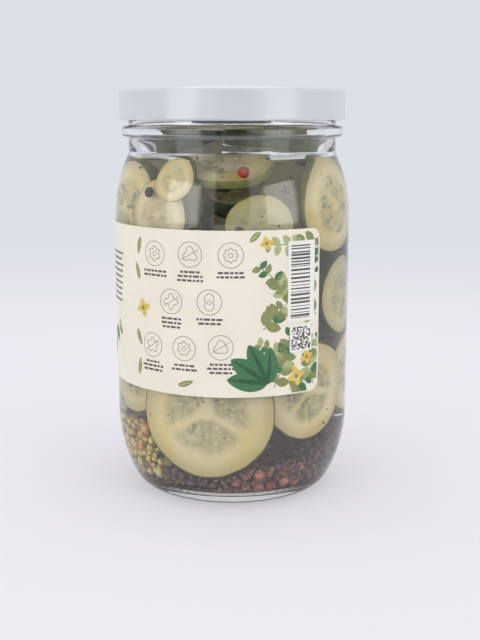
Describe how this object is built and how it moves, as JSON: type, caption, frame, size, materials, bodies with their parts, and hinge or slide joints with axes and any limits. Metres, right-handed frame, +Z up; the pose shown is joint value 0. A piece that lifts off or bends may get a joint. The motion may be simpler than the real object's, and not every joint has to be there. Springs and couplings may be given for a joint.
{
  "type": "pickle jar",
  "caption": "Round clear glass jar of sliced pickles in brine, with a narrowed neck, a white twist-off metal lid and a wrap-around paper label.",
  "frame": {"origin": "centre of the jar's foot, on the surface it stands on", "axes": "+Z up along the jar's axis, -Y the front, +X to the right seen from the front"},
  "size_m": [0.0891, 0.0892, 0.1516],
  "materials": {
    "glass": "clear flint glass, polished, with a faint green edge",
    "lid_paint": "white gloss lacquer on thin steel",
    "seal": "soft pale sealing compound, satin",
    "label_paper": "matt coated paper with a coloured print",
    "brine": "clear pale yellow brine"
  },
  "bodies": {
    "root": {"glass_jar": "glass", "metal_lid": "lid_paint", "sealing_ring": "seal", "paper_label": "label_paper", "brine": "brine"}
  },
  "joints": []
}
